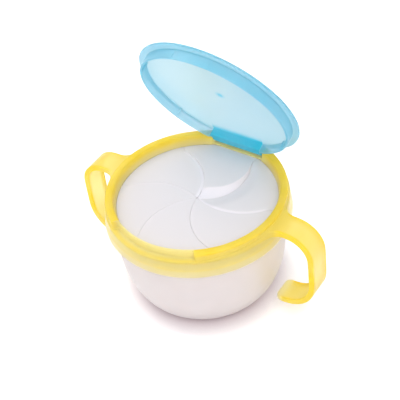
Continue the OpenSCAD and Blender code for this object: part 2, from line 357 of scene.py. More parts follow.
def pigmented_pp(name, pale, deep, clarity, per_mm, rough):
    """pale and deep are the colours of a wall with little and with much pigment. Light
    that passes is multiplied by clarity, which the wall's haze costs at any thickness,
    and by exp(-k d), where k is what per_mm gives for red, green and blue. Blender makes
    k from a colour and a density, k = (1 - colour) * density, so the strongest k becomes
    the density and each colour is 1 - k / strongest."""
    material, tree, output = new_material(name)
    normal, drift = moulded_skin(tree)
    uneven = add_node(tree, "ShaderNodeMapRange", {"Value": drift, "To Min": UNEVEN[0],
                      "To Max": UNEVEN[1]}).outputs["Result"]
    here = {label: add_node(tree, "ShaderNodeAttribute", attribute_name=label).outputs["Fac"]
            for label in ("pigment", "haze")}
    pigment = add_node(tree, "ShaderNodeMath", {0: here["pigment"], 1: uneven},
                       operation="MULTIPLY").outputs[0]
    haze = add_node(tree, "ShaderNodeMath", {0: here["haze"], 1: uneven},
                    operation="MULTIPLY").outputs[0]
    tone = add_node(tree, "ShaderNodeMix", {0: pigment, 6: linear(pale), 7: linear(deep)},
                    data_type="RGBA").outputs[2]
    satin = add_node(tree, "ShaderNodeMapRange", {
        "Value": drift, "To Min": rough + PP_SATIN[0],
        "To Max": rough + PP_SATIN[1]}).outputs["Result"]
    clear = add_node(tree, "ShaderNodeBsdfPrincipled", {
        "Base Color": linear(clarity), "Roughness": rough, "IOR": CLEAR_IOR,
        "Transmission Weight": 1.0, "Coat Weight": 1.0, "Coat Roughness": rough,
        "Coat IOR": PP_IOR, "Normal": normal})
    lit = add_node(tree, "ShaderNodeBsdfPrincipled", {
        "Base Color": tone, "Roughness": satin, "IOR": PP_IOR, "Normal": normal})
    lit_through = add_node(tree, "ShaderNodeBsdfTranslucent", {"Color": tone, "Normal": normal})
    body = add_node(tree, "ShaderNodeMixShader", {0: LIT_THROUGH, 1: lit.outputs[0],
                    2: lit_through.outputs[0]})
    wall = add_node(tree, "ShaderNodeMixShader", {0: haze, 1: clear.outputs[0],
                    2: body.outputs[0]})
    strongest = max(per_mm)
    depth = add_node(tree, "ShaderNodeVolumeAbsorption", {
        "Color": tuple(1 - k / strongest for k in per_mm) + (1,), "Density": strongest / MM})
    tree.links.new(wall.outputs[0], output.inputs["Surface"])
    tree.links.new(depth.outputs[0], output.inputs["Volume"])
    print(name, "loses", per_mm, "per mm")
    return material


print("light bends by", PP_IOR, "at the skin, and by", CLEAR_IOR, "as seen through a wall")

# %% Blue and yellow
blue = pigmented_pp("moulded_blue_polypropylene", "#b0e2fa", "#54e0f8", "#f2eff1",
                    (0.14, 0.036, 0.02), 0.32)
yellow = pigmented_pp("moulded_yellow_polypropylene", "#fff5b8", "#ffe93c", "#ffffff",
                      (0.0, 0.006, 0.15), 0.33)

# %% [markdown]
# The bowl is the same plastic with a white pigment and a thicker wall. Nothing shows
# through it, but light wanders a few millimetres under its skin and softens every
# shade, which is what subsurface scattering draws. Its foot has slid over tables, so
# fine scuffs across the standing ring make it duller there.

# %% Milky polypropylene
SCUFF_HEIGHT_MM = 3.0      # how far up from the table the foot is worn
SCUFF_MM = 0.7             # width of a scuff
SCUFF_Y_SCALE = 0.12       # along Y the scuffs are drawn out to eight widths
SCUFF_DULL = 0.45          # what the deepest scuff adds to the roughness
WANDER_MM = 2.5            # how far light wanders under the skin
WANDER_SHARE = 0.8         # share of the light that does so
WANDER_RGB = (1.0, 0.85, 0.8)                # red gets farthest, as in any milky thing


def milky_pp(name, light, deep, rough):
    """Colour drifts from light to deep. Roughness = rough + dull * scuff * (1 - z / h),
    where scuff is a noise drawn out along Y and h is the height that is worn."""
    material, tree, output = new_material(name)
    normal, drift = moulded_skin(tree)
    tone = add_node(tree, "ShaderNodeMix", {0: drift, 6: linear(light), 7: linear(deep)},
                    data_type="RGBA").outputs[2]
    place = add_node(tree, "ShaderNodeTexCoord").outputs["Object"]
    height = add_node(tree, "ShaderNodeSeparateXYZ", {0: place}).outputs["Z"]
    low = add_node(tree, "ShaderNodeMapRange", {"Value": height, "From Min": 0.0,
                   "From Max": SCUFF_HEIGHT_MM * MM, "To Min": 1.0, "To Max": 0.0})
    streak = add_node(tree, "ShaderNodeMapping", {"Vector": place,
                      "Scale": (1, SCUFF_Y_SCALE, 1)})
    scuff = add_node(tree, "ShaderNodeTexNoise", {"Vector": streak.outputs[0],
                     "Scale": 1 / (SCUFF_MM * MM), "Detail": 3.0})
    worn = add_node(tree, "ShaderNodeMath", {0: low.outputs["Result"],
                    1: scuff.outputs["Fac"]}, operation="MULTIPLY")
    satin = add_node(tree, "ShaderNodeMath", {0: worn.outputs[0], 1: SCUFF_DULL,
                     2: rough}, operation="MULTIPLY_ADD")
    plastic = add_node(tree, "ShaderNodeBsdfPrincipled", {
        "Base Color": tone, "Roughness": satin.outputs[0], "IOR": PP_IOR, "Normal": normal,
        "Subsurface Weight": WANDER_SHARE, "Subsurface Radius": WANDER_RGB,
        "Subsurface Scale": WANDER_MM * MM})
    tree.links.new(plastic.outputs[0], output.inputs["Surface"])
    print(name, "is scuffed up to", SCUFF_HEIGHT_MM, "mm")
    return material


milky = milky_pp("moulded_milky_polypropylene", "#dfd7d5", "#dbd3d1", 0.38)

# %% [markdown]
# The flaps are a thermoplastic elastomer (TPE), a rubber that is moulded like a plastic.
# It is matt and a touch waxy, and a little light comes through it. Along the cuts a
# highlight is painted into its colour: the margins carry a number that lightens them.

# %% Soft white elastomer
TPE_IOR, TPE_SHINE = 1.5, 0.35               # a soft skin shines less than a hard one
TPE_THROUGH = 0.2          # share of its light that comes through from below
TPE_WAXY = (-0.05, 0.08)   # what the drift takes from and adds to the roughness


def soft_tpe(name, rest, highlight, rough):
    """Colour goes from rest to the painted highlight by the number pale on each point."""
    material, tree, output = new_material(name)
    normal, drift = moulded_skin(tree)
    pale = add_node(tree, "ShaderNodeAttribute", attribute_name="pale").outputs["Fac"]
    tone = add_node(tree, "ShaderNodeMix", {0: pale, 6: linear(rest), 7: linear(highlight)},
                    data_type="RGBA").outputs[2]
    waxy = add_node(tree, "ShaderNodeMapRange", {
        "Value": drift, "To Min": rough + TPE_WAXY[0],
        "To Max": rough + TPE_WAXY[1]}).outputs["Result"]
    skin = add_node(tree, "ShaderNodeBsdfPrincipled", {
        "Base Color": tone, "Roughness": waxy, "IOR": TPE_IOR,
        "Specular IOR Level": TPE_SHINE, "Normal": normal})
    through = add_node(tree, "ShaderNodeBsdfTranslucent", {"Color": tone, "Normal": normal})
    both = add_node(tree, "ShaderNodeMixShader", {0: TPE_THROUGH, 1: skin.outputs[0],
                    2: through.outputs[0]})
    tree.links.new(both.outputs[0], output.inputs["Surface"])
    print(name, "has roughness", rough)
    return material


# the second colour is the painted highlight along the cuts
soft = soft_tpe("moulded_white_elastomer", "#eeeaec", "#fbf6fa", 0.55)

# %% [markdown]
# The bowl is a thin shell turned about its axis. A lathe section says it best: the
# outside rises from the standing ring through a quarter ellipse to an upright wall, the
# snap flange turns outwards under the collar, and the inside follows at one wall's
# distance. The section is closed at the axis, above and below the floor.

# %% Bowl section
BOWL_R, BOWL_WALL = 46.0, 1.6
BOWL_BASE_R, BOWL_ROUND_H = 29.5, 35.0       # the quarter ellipse of the foot
BOWL_FLOOR = 2.4                             # height of the floor inside
BOWL_TOP = RIM - 7.8
FLANGE_R, FLANGE_LOW = 47.9, RIM - 9.4
DRAFT = 0.4                                  # the foot is this much slimmer than the top
RECESS_H = 0.8                               # the underside stands clear of the table


def foot(radius, base, low, high, steps=14):
    """A quarter ellipse from the base flat up to the wall: r = base + (R - base) cos t,
    z = high - (high - low) sin t, with t from 90 degrees to 0."""
    t = np.radians(np.linspace(90, 0, steps))
    return np.stack([base + (radius - base) * np.cos(t), high - (high - low) * np.sin(t)], -1)


def bowl_section():
    """From the middle of the underside round the foot, wall and flange to the floor."""
    inner = BOWL_R - BOWL_WALL
    outside = foot(BOWL_R - DRAFT, BOWL_BASE_R, 0.0, BOWL_ROUND_H)
    inside = foot(inner - DRAFT, BOWL_BASE_R - 0.8, BOWL_FLOOR, BOWL_ROUND_H)[::-1]
    return np.concatenate([
        [[2.0, RECESS_H], [14.0, RECESS_H], [24.4, RECESS_H], [25.1, RECESS_H - 0.1],
         [25.6, 0.15], [26.2, 0.0]],
        outside,
        [[BOWL_R, FLANGE_LOW - 1.6], [BOWL_R + 0.3, FLANGE_LOW - 1.1],
         [FLANGE_R - 0.2, FLANGE_LOW + 0.1], [FLANGE_R, FLANGE_LOW + 0.5],
         [FLANGE_R, BOWL_TOP - 0.6], [FLANGE_R - 0.3, BOWL_TOP - 0.1],
         [FLANGE_R - 0.8, BOWL_TOP], [inner + 0.4, BOWL_TOP], [inner + 0.05, BOWL_TOP - 0.15],
         [inner, BOWL_TOP - 0.6]],
        inside, [[26.0, BOWL_FLOOR], [14.0, BOWL_FLOOR], [2.0, BOWL_FLOOR]]])


print("the bowl's section has", len(bowl_section()), "points")

# %% Bowl
bowl = new_piece("bowl_shell", *capped(around(bowl_section(), np.arange(0, 360, 5))), milky, 2)
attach(bowl, "bowl")
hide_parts("bowl")

# %% [markdown]
# The collar is one moulding: a hollow rim, a shoulder, a flared skirt and two handles.
# Its section changes as it goes round. At the front the rim is cut back to a single
# wall for a finger, at the back it drops to a low floor for the hinge, and elsewhere it
# is an upside-down channel. So each column of the grid takes one of four sections with
# the same number of points, and the steps between them become the end walls.

# %% Collar sections
RIM_R = 48.4
FULL_TOP = [[43.05, -6.2], [43.12, -5.8], [44.15, -1.1], [44.38, -0.3], [44.9, 0.0],
            [46.2, 0.0], [RIM_R - 0.6, 0.0], [RIM_R - 0.1, -0.2], [RIM_R, -0.8],
            [RIM_R, -2.6], [RIM_R, -4.6], [RIM_R + 0.07, -4.87], [RIM_R + 0.5, -4.92]]
RECESS_TOP = [[43.05, -6.2], [43.12, -5.8], [44.15, -1.1], [44.33, -0.3], [44.55, 0.0],
              [44.9, 0.0], [45.2, -0.02], [45.38, -0.35], [45.4, -1.2], [45.4, -2.6],
              [45.42, -4.3], [45.65, -4.85], [RIM_R, -4.92]]
GAP_TOP = [[41.0, -6.15], [41.0, -5.85], [41.0, -5.4], [41.1, -5.23], [41.7, -5.2],
           [43.5, -5.2], [45.3, -5.2], [46.4, -5.2], [47.0, -5.2], [47.4, -5.2],
           [47.8, -5.2], [48.2, -5.2], [48.8, -5.22]]
SKIRT = [[49.15, -5.3], [49.22, -5.8], [49.32, -6.6], [49.42, -7.4], [49.68, -9.3],
         [49.8, -10.2], [49.92, -11.1], [50.32, -14.1], [50.36, -14.72], [50.0, -14.8],
         [49.3, -14.76], [49.1, -14.1], [48.45, -11.0], [48.0, -10.5], [48.0, -10.0],
         [48.3, -9.6], [47.9, -7.1], [47.4, -6.35]]
CHANNEL = [[47.15, -6.1], [47.1, -1.7], [46.85, -1.35], [45.8, -1.35], [45.6, -1.7],
           [44.55, -5.9], [44.3, -6.2], [43.4, -6.2]]
FILLED = [[47.15, -6.2], [46.9, -6.2], [46.5, -6.2], [45.9, -6.2], [45.5, -6.2],
          [44.9, -6.2], [44.3, -6.2], [43.4, -6.2]]
SECTIONS = np.array([RECESS_TOP + SKIRT + FILLED, FULL_TOP + SKIRT + FILLED,
                     FULL_TOP + SKIRT + CHANNEL, GAP_TOP + SKIRT + FILLED])
RECESS, SOLID, HOLLOW, GAP = range(len(SECTIONS))
print(len(SECTIONS), "sections of", SECTIONS.shape[1], "points")

# %% [markdown]
# The columns stand close together where one section steps to the next and where a
# handle grows, and wide apart in between. The end blocks and the gap have flat sides
# that run straight back, so their columns keep one x each instead of one angle.

# %% Collar columns
RECESS_END = -90 + 31.4    # plan angle at which the finger recess ends
GAP_HALF = 15.8            # half width of the hinge gap
ROOT_ANGLES = np.array([5.0, 9.5, 12.5, 18.0])         # each side of a handle's middle


def collar_columns():
    """Angle, x and kind of section of each column round one half, from the middle of the
    recess to the middle of the hinge gap. A column has an angle or an x, and the other
    of the two isn't a number."""
    end = RECESS_END
    runs = [
        (np.linspace(-90, end - 2.9, 6), RECESS), ([end - 1.0, end - 0.3], RECESS),
        ([end + 0.3, end + 1.0, end + 1.7], SOLID), ([end + 2.3], HOLLOW),
        (np.linspace(-51, -24, 6), HOLLOW), (-ROOT_ANGLES[::-1], HOLLOW), ([0], HOLLOW),
        (ROOT_ANGLES, HOLLOW), (np.linspace(24, 58, 6), HOLLOW), ([62, 64.3], HOLLOW),
        ([65.0], SOLID)]
    angles = np.concatenate([run for run, kind in runs])
    kinds = np.concatenate([np.full(len(run), kind) for run, kind in runs])
    flat_x = np.array([0.7, 0.2, -0.2, -0.7, -5.3, -10.6, -GAP_HALF]) + GAP_HALF
    angles = np.concatenate([angles, np.full(len(flat_x), np.nan)])
    x = np.concatenate([np.full(len(kinds), np.nan), flat_x])
    kinds = np.concatenate([kinds, [SOLID] * 2, [GAP] * 5])
    return angles, x, kinds


print(len(collar_columns()[0]), "columns round half the collar")

# %% [markdown]
# Two things lift the shoulder off its level. It climbs in a straight slope from the
# recess to each handle, because the handle's strap leaves the rim almost at the top,
# and it swells a little more right at the strap. Both are height added to a few rows.

# %% Collar ring
LEDGE_START_X, LEDGE_RISE = 25.0, 2.5
ROOT_RISE, ROOT_SWELL_DEGREES = 1.0, 26
LEDGE_WEIGHT = {8: 0.1, 9: 0.5, 10: 1, 11: 1, 12: 1, 13: 0.95, 14: 0.85, 15: 0.7, 16: 0.55}
ROOT_WEIGHT = {9: 0.4, 10: 1, 11: 1, 12: 1, 13: 0.7, 14: 0.4, 15: 0.2}
GAP_FLAT_ROWS = 5          # in the gap, the rows of the inner wall run straight across


def row_weights(weights, count):
    """A weight for every row from a few stated ones."""
    out = np.zeros(count)
    out[list(weights)] = list(weights.values())
    return out


def collar_ring():
    """Every column is the section of its kind, at its angle or at its x. The lift is
    rise * (|x| - start) / (R - start), plus a bump that fades within 26 degrees."""
    angles, x, kinds = collar_columns()
    r, z = SECTIONS[kinds, :, 0], SECTIONS[kinds, :, 1]
    at_x = ~np.isnan(x)[:, None]
    across = np.where(at_x, x[:, None], 0)
    straight = (kinds == GAP)[:, None] & (np.arange(r.shape[1]) < GAP_FLAT_ROWS)
    r = np.where(straight, np.hypot(r, across), r)
    a = np.where(at_x, np.arccos(across / r), np.radians(np.nan_to_num(angles))[:, None])
    slope = np.clip((RIM_R * np.cos(a) - LEDGE_START_X) / (RIM_R - LEDGE_START_X), 0, 1)
    swell = eased(1 - np.abs(np.degrees(a)) / ROOT_SWELL_DEGREES)
    z = (z + LEDGE_RISE * slope * row_weights(LEDGE_WEIGHT, r.shape[1])
         + ROOT_RISE * swell * row_weights(ROOT_WEIGHT, r.shape[1]))
    half = np.stack([r * np.cos(a), r * np.sin(a), z], -1)
    other = half[-2:0:-1] * MIRRORED
    return np.concatenate([half, other])


print("the ring is a grid of", collar_ring().shape[:2])

# %% [markdown]
# A handle is a flat strap that runs out, bends down, and hooks back. It could be a
# curve with a bevel, but its tip is rounded and its root has to meet the collar, so it
# is a lattice of points across its width and thickness, carried along a path of
# straight runs and arcs.

# %% Handle strap
HANDLE_REACH, STRAP_T, STRAP_W = 72.5, 3.0, 13.8
UPPER_BEND, LOWER_BEND, HOOK_TURN = 15.2, 19.5, 100.0  # outer radii, and degrees
STRAP_TOP, LOWER_CENTRE_Z, ROOT_X = -2.1, -34.5, 55.4
TIP_CORNER = 3.4                                       # radius of the hook's corners
TIP_STEPS = np.array([4.6, 3.0, 1.8, 0.9, 0.35, 0.05])  # distances left to the tip
TIP_THINNEST = 0.25                                    # of half the thickness
STRAP_ACROSS = np.array([-1, -0.94, -0.72, -0.36, 0, 0.36, 0.72, 0.94, 1])
STRAP_THROUGH = np.array([1, 0.78, 0.4, 0, -0.4, -0.78, -1])


def strap_stations():
    """Middle (x, z), angle of the outward normal, half width and half thickness of each
    station. The line runs out, round the upper bend, down, and round the lower bend, each
    bend being x0 + r cos a, z0 + r sin a. It ends in a tip whose corners are quarter
    circles: half width - c (1 - sqrt(1 - t^2))."""
    mid = STRAP_T / 2
    upper = np.radians(np.linspace(90, 0, 8))
    lower = np.radians(-np.linspace(0, HOOK_TURN, 11))
    ux, uz = HANDLE_REACH - UPPER_BEND, STRAP_TOP - UPPER_BEND
    lx, lz = HANDLE_REACH - LOWER_BEND, LOWER_CENTRE_Z
    tip_angles = lower[-1] - (mid - TIP_STEPS) / (LOWER_BEND - mid)
    lower = np.concatenate([lower[:-2], tip_angles])
    angle = np.concatenate([[np.pi / 2], upper, [0, 0], lower])
    x = np.concatenate([[ROOT_X], ux + (UPPER_BEND - mid) * np.cos(upper),
                        [HANDLE_REACH - mid] * 2, lx + (LOWER_BEND - mid) * np.cos(lower)])
    z = np.concatenate([[STRAP_TOP - mid], uz + (UPPER_BEND - mid) * np.sin(upper),
                        [uz - 6, uz - 12], lz + (LOWER_BEND - mid) * np.sin(lower)])
    left = np.concatenate([np.full(len(x) - len(TIP_STEPS), np.inf), TIP_STEPS])
    corner, edge = np.clip(1 - left / TIP_CORNER, 0, 1), np.clip(1 - left / mid, 0, 1)
    wide = STRAP_W / 2 - TIP_CORNER * (1 - np.sqrt(1 - corner ** 2))
    thick = mid * np.maximum(np.sqrt(1 - edge ** 2), TIP_THINNEST)
    return x, z, angle, wide, thick


def strap_lattices():
    """A lattice of points across the strap at each station: the width along Y and the
    thickness along the normal (cos a, 0, sin a)."""
    x, z, angle, wide, thick = strap_stations()
    v, t = STRAP_ACROSS[None, :, None], STRAP_THROUGH[None, None, :]
    off = t * thick[:, None, None]
    px = x[:, None, None] + off * np.cos(angle)[:, None, None] + 0 * v
    pz = z[:, None, None] + off * np.sin(angle)[:, None, None] + 0 * v
    py = v * wide[:, None, None] + 0 * t
    return np.stack([px, py, pz], -1)


print("a handle has", len(strap_lattices()), "stations of", strap_lattices().shape[1:3])

# %% [markdown]
# Cutting a window in the ring's wall and carrying the window's edge outwards keeps the
# skin in one piece, with no seam where strap and collar meet, just as in the moulding.
# Joining two separate shells would leave a hard line there. The window has as many
# points each way as the strap, and between the two the skin narrows faster than it
# thins, so the sides of the root sweep in as a fillet.

# %% Handle root
HANDLE_ROWS = (10, 16)     # the rows of the wall from which a handle grows
ROOT_REACH = np.array([0.2, 0.42, 0.64, 0.85])         # how far out each root loop is
ROOT_NARROWS, ROOT_THINS = 2.8, 1.6                    # powers: more means sooner


def boundary(lattice):
    """The outer loop of a lattice (width, thickness, 3): along the top, down the far
    edge, back along the bottom and up the near edge."""
    return np.concatenate([lattice[:, 0], lattice[-1, 1:], lattice[-2::-1, -1],
                           lattice[0, -2:0:-1]])


def sew_handle(ring, flip):
    """The window's columns, rows and edge of point numbers, the loops from the window to
    the hook's tip, and the tip's lattice. The first loops ease from the window to the
    strap: the width is 1 - (1 - s)^2.8 and the height 1 - (1 - s)^1.6 of the way when the
    reach is s."""
    count = len(ring)
    middle = int(np.flatnonzero(collar_columns()[0] == 0)[0])
    beside = len(ROOT_ANGLES)
    columns = np.arange(middle - beside, middle + beside + 1)
    if flip:
        columns = (count - columns) % count
    rows = np.arange(HANDLE_ROWS[0], HANDLE_ROWS[1] + 1)
    window = ring[columns][:, rows]
    strap = strap_lattices() * (MIRRORED if flip else 1)
    reach = ROOT_REACH[:, None, None, None]
    ease = np.concatenate([reach, 1 - (1 - reach) ** ROOT_NARROWS,
                           1 - (1 - reach) ** ROOT_THINS], -1)
    root = window + (strap[0] - window) * ease
    lattices = np.concatenate([root, strap])
    loops = np.stack([boundary(lattice) for lattice in lattices])
    index = columns[:, None] * ring.shape[1] + rows
    return columns, rows, boundary(index[..., None])[:, 0], loops, lattices[-1]


print("the root has", len(ROOT_REACH), "loops, from rows", HANDLE_ROWS)

# %% [markdown]
# The last step numbers the points. The ring comes first, then each handle's loops, then
# the few points inside its tip. A tube of quads joins one loop to the next, and a small
# grid closes the tip. On the mirrored handle every face is turned over, so that it
# still looks outwards.

# %% Joining the collar
def tube_faces(ids):
    """Quads between loops of point numbers (loops, points): each takes (loop, point),
    (loop + 1, point), (loop + 1, point + 1), (loop, point + 1)."""
    ahead = np.roll(ids, -1, 1)
    return np.stack([ids[:-1], ids[1:], ahead[1:], ahead[:-1]], -1).reshape(-1, 4)


def tip_faces(shape, edge, first):
    """Quads of the lattice that closes a tip. Its outer loop has the numbers in edge,
    and its inner points count up from first."""
    numbers = np.full(shape, -1)
    walk = boundary(np.stack(np.meshgrid(*map(np.arange, shape), indexing="ij"), -1))
    numbers[walk[:, 0], walk[:, 1]] = edge
    inside = numbers[1:-1, 1:-1]
    inside[:] = first + np.arange(inside.size).reshape(inside.shape)
    return np.stack([numbers[:-1, :-1], numbers[:-1, 1:], numbers[1:, 1:],
                     numbers[1:, :-1]], -1).reshape(-1, 4)


def build_collar():
    """The ring without its two windows, and on each window's edge the loops of a handle,
    closed at the tip by a last lattice."""
    ring = collar_ring()
    columns_in_all, rows_in_all = ring.shape[:2]
    keep = grid_faces(columns_in_all, rows_in_all, wrap_rows=True)
    verts, faces, count = [ring.reshape(-1, 3)], [], columns_in_all * rows_in_all
    for flip in (False, True):
        columns, rows, start, loops, tip = sew_handle(ring, flip)
        column, row = np.divmod(keep[:, 0], rows_in_all)
        cut = ((column >= columns.min()) & (column < columns.max())
               & (row >= rows[0]) & (row < rows[-1]))
        keep = keep[~cut]
        numbers = count + np.arange(loops[..., 0].size).reshape(loops.shape[:2])
        count += numbers.size
        tube = tube_faces(np.concatenate([start[None], numbers]))
        end = tip_faces(tip.shape[:2], numbers[-1], count)
        inside = tip[1:-1, 1:-1].reshape(-1, 3)
        count += len(inside)
        verts += [loops.reshape(-1, 3), inside]
        faces += [tube[:, ::-1], end[:, ::-1]] if flip else [tube, end]
    return np.concatenate(verts), np.concatenate([keep] + faces).tolist()


verts, faces = build_collar()
print("the joined collar is", np.ptp(verts[:, 0]), "mm over its handles")

# %% [markdown]
# The collar's colour is deepest where the eye looks through two walls or along one: the
# hollow rim, the shoulder, the step half way down the skirt, and the narrow edges of the
# straps. The single wall of the finger recess and the skirt over the white bowl are
# pale. The foot of the rim's inner wall is pale as well, partly because the white bead of
# the diaphragm stands right behind it and partly as painted light that lifts the shade
# where the wall meets the flaps, and the floor of the hinge gap is made pale as painted
# light in the lug's shade. A point's place says which of these it is, so the colour is a
# function of place, with a soft border wherever one region meets the next.

# %% Collar pigment levels
# the low foot is partly painted light, lifting the shade where the wall meets the flaps
WALL_FOOT, WALL_HEAD = 0.05, 0.65            # the rim's inner wall, below and above
RIM_OUTER, RIM_TOP = 0.7, 0.88
# the gap floor's low pigment is painted light in the lug's shade
RECESS_WALL, GAP_FLOOR = 0.06, 0.12
SKIRT_LEVEL, SHOULDER_MORE, STEP_MORE = 0.32, 0.45, 0.25
STRAP_LEVEL, STRAP_EDGE = 0.62, 0.95
STRAP_PALER, STRAP_OUTSIDE_PALER = 0.14, 0.3           # half way down the strap
RIM_HAZE, WALL_HAZE = 0.7, 0.9
STEP_Z, STEP_BLUR = -10.2, 0.8               # the step in the skirt
STRAP_MIDDLE_Z, STRAP_SPREAD = -30, 13
BORDERS = {                                  # start, and width of the change
    "head of the inner wall": (-6.0, 5.0),   # upwards
    "outer wall": (45.8, 0.6),               # outwards
    "top of the rim": (-1.6, 0.8),           # upwards
    "end of the recess": (RECESS_END - 0.5, 1.0),      # in degrees, backwards
    "shoulder": (-6.4, 1.6),                 # upwards
    "below the rim": (4.6, 0.3),             # downwards
    "outside the channel": (45.6, 0.4),      # outwards
    "outer face of a strap": (70.6, 1.2),    # outwards
    "edge of a strap": (0.86 * STRAP_W / 2, 0.6),      # sideways
    "strap": (50.6, 3.5),                    # outwards
    "rim haze": (-5.2, 0.4),                 # upwards
    "back of the inner wall": (44.6, 0.3),   # outwards
}
print("the collar's colour changes at", len(BORDERS), "borders")

# %% Collar pigment
def toward(level, target, share):
    """level + (target - level) * share, for numbers or whole arrays."""
    return level + (target - level) * share


def past(value, border):
    """0 before a border, 1 past it, and eased over its width."""
    start, width = BORDERS[border]
    return eased((value - start) / width)


def bell(distance, width):
    """exp(-(d / w)^2): 1 at distance 0, and about a third at one width."""
    return np.exp(-(distance / width) ** 2)


def collar_pigment(verts):
    """Pigment and haze by place. Each line changes one region: the rim's inner wall,
    outer wall and top, the finger recess, the hinge gap, the skirt, and the faces and
    edges of the straps. Haze is the same number, but more on the rim, and most on its
    inner wall, whose hollow would else look dark."""
    x, y, z = verts.T
    r = np.hypot(x, y)
    angle = np.degrees(np.arctan2(y, np.abs(x)))
    # pale foot: partly the bead behind it, partly painted light against the shade at the flaps
    rim = toward(WALL_FOOT, WALL_HEAD, past(z, "head of the inner wall"))
    rim = toward(rim, RIM_OUTER, past(r, "outer wall"))
    rim = toward(rim, RIM_TOP, past(z, "top of the rim"))
    rim = toward(rim, RECESS_WALL, 1 - past(angle, "end of the recess"))
    # gap floor made pale: painted light in the lug's shade
    rim = np.where((np.abs(x) < GAP_HALF - 0.1) & (y > 0), GAP_FLOOR, rim)
    skirt = SKIRT_LEVEL + SHOULDER_MORE * past(z, "shoulder")
    skirt += STEP_MORE * bell(z - STEP_Z, STEP_BLUR)
    ring = toward(rim, skirt, past(-z, "below the rim") * past(r, "outside the channel"))
    paler = STRAP_PALER + STRAP_OUTSIDE_PALER * past(r, "outer face of a strap")
    strap = STRAP_LEVEL - paler * bell(z - STRAP_MIDDLE_Z, STRAP_SPREAD)
    strap = toward(strap, STRAP_EDGE, past(np.abs(y), "edge of a strap"))
    pigment = toward(ring, strap, past(r, "strap"))
    haze = toward(pigment, np.maximum(pigment, RIM_HAZE), past(z, "rim haze"))
    return pigment, toward(haze, WALL_HAZE, 1 - past(r, "back of the inner wall"))


pigment, haze = collar_pigment(verts)
print("pigment from", round(pigment.min(), 2), "to", round(pigment.max(), 2))

# %% Collar
collar = new_piece("collar_moulding", verts + [0, 0, RIM], faces, yellow, 2,
                   pigment=pigment, haze=haze)
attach(collar, "collar")
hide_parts("collar")

# %% [markdown]
# The lid's pins turn in two blind holes in the solid ends of the rim. A round hole in
# the middle of a grid would force its columns apart, so the holes are drilled: the
# smoothed skin is fixed as a mesh, and a rod is taken away from it at each side. The rod
# starts a little outside the wall, so that the cut has a clean mouth.

# %% Hinge sockets
HINGE_Y, HINGE_Z = 43.6, -1.5
SOCKET_R, SOCKET_CHAMFER = 1.05, 0.1
SOCKET_MOUTH, SOCKET_END = GAP_HALF - 1.5, GAP_HALF + 1.9


def rod(radius, ends, chamfer, columns=32):
    """A closed rod along X between two ends, with a chamfer at the second one. Each row
    is a circle (x, y0 + r cos a, z0 + r sin a)."""
    start, end = ends
    sign = np.sign(end - start)
    x = np.array([start, start + 0.05 * sign, end - chamfer * sign, end])[:, None]
    r = np.array([radius, radius, radius, radius - chamfer])[:, None]
    a = np.linspace(0, 2 * np.pi, columns, endpoint=False)[None, :] * sign
    return np.stack([x + 0 * a, HINGE_Y + r * np.cos(a), HINGE_Z + r * np.sin(a)], -1)


def fixed(piece):
    """Replaces a piece's mesh by the result of its modifiers, and clears them."""
    graph = bpy.context.evaluated_depsgraph_get()
    mesh = bpy.data.meshes.new_from_object(piece.evaluated_get(graph), depsgraph=graph)
    piece.modifiers.clear()
    piece.data = mesh


def drill(piece, tool):
    """Takes a tool's volume away from a piece, and removes the tool."""
    cut = piece.modifiers.new("drill", "BOOLEAN")
    cut.operation, cut.solver, cut.object = "DIFFERENCE", "EXACT", tool
    fixed(piece)
    bpy.data.objects.remove(tool)


fixed(collar)
for side in (1, -1):
    hole = rod(SOCKET_R, (side * SOCKET_MOUTH, side * SOCKET_END), SOCKET_CHAMFER)
    drill(collar, new_piece("drill_tool", *capped(hole + [0, 0, RIM]), yellow))
print("collar now has", len(collar.data.polygons), "faces")

# %% [markdown]
# The lid is a shallow crowned plate with a plug ring under it and a hinge lug at the
# back. Going from the middle of the top over the edge, round the plug and back to the
# middle underneath gives one closed section. The lug has a section of its own with as
# many points, so the grid flows from plate edge to barrel without a seam. The lid is
# drawn shut, as a toolmaker would, and swung open about its pins as the last step.

# %% Lid sections
PLATE_LOW, PLATE_HIGH = 0.05, 1.55
TOP_ROWS = [[r, PLATE_HIGH] for r in (3.0, 12.0, 22.0, 32.0, 38.0, 42.0)]
UNDER_ROWS = [[35, PLATE_LOW], [28, PLATE_LOW], [20, PLATE_LOW], [11, PLATE_LOW],
              [2.2, 0.05], [1.1, 0.0], [0.75, -0.2], [0.35, -0.3]]
LID_ROWS = TOP_ROWS + [
    [44.5, 1.55], [45.9, 1.52], [46.3, 1.25], [46.4, 0.8], [46.3, 0.3], [46.0, 0.08],
    [45.2, 0.05], [43.6, 0.05], [42.95, 0.0], [42.8, -0.4], [42.8, -2.8], [42.8, -5.0],
    [42.7, -5.45], [42.4, -5.6], [41.9, -5.6], [41.6, -5.45], [41.5, -5.0], [41.5, -2.6],
    [41.5, -0.35], [41.4, 0.0], [40.9, 0.06]] + UNDER_ROWS
LUG_ROWS = TOP_ROWS + [
    [44.4, 1.55], [45.1, 1.5], [45.55, 1.2], [45.75, 0.4], [46.2, -0.6], [46.6, -1.5],
    [46.4, -2.6], [45.7, -3.65], [44.8, -4.25], [43.6, -4.5], [42.4, -4.35], [41.2, -4.22],
    [40.2, -4.2], [39.3, -4.2], [38.75, -4.13], [38.45, -3.8], [38.4, -3.3], [38.4, -1.8],
    [38.4, -0.2], [38.3, 0.15], [37.8, 0.36]] + UNDER_ROWS
EDGE_ROWS = 14                           # so many rows are the plate's top and edge
PLUG_OUTSIDE, PLUG_INSIDE = (16, 18), (20, 25)         # first and last row of each wall
print("the lid's and the lug's sections have", len(LID_ROWS), "and", len(LUG_ROWS), "points")

# %% [markdown]
# Round the plug stand small things that a toolmaker cuts into the mould: two ribs
# inside, a thin sector beside the lug so that the plug can flex, and a shallow catch at
# the front. Each gets a few columns close to its borders, so that its steps are crisp.

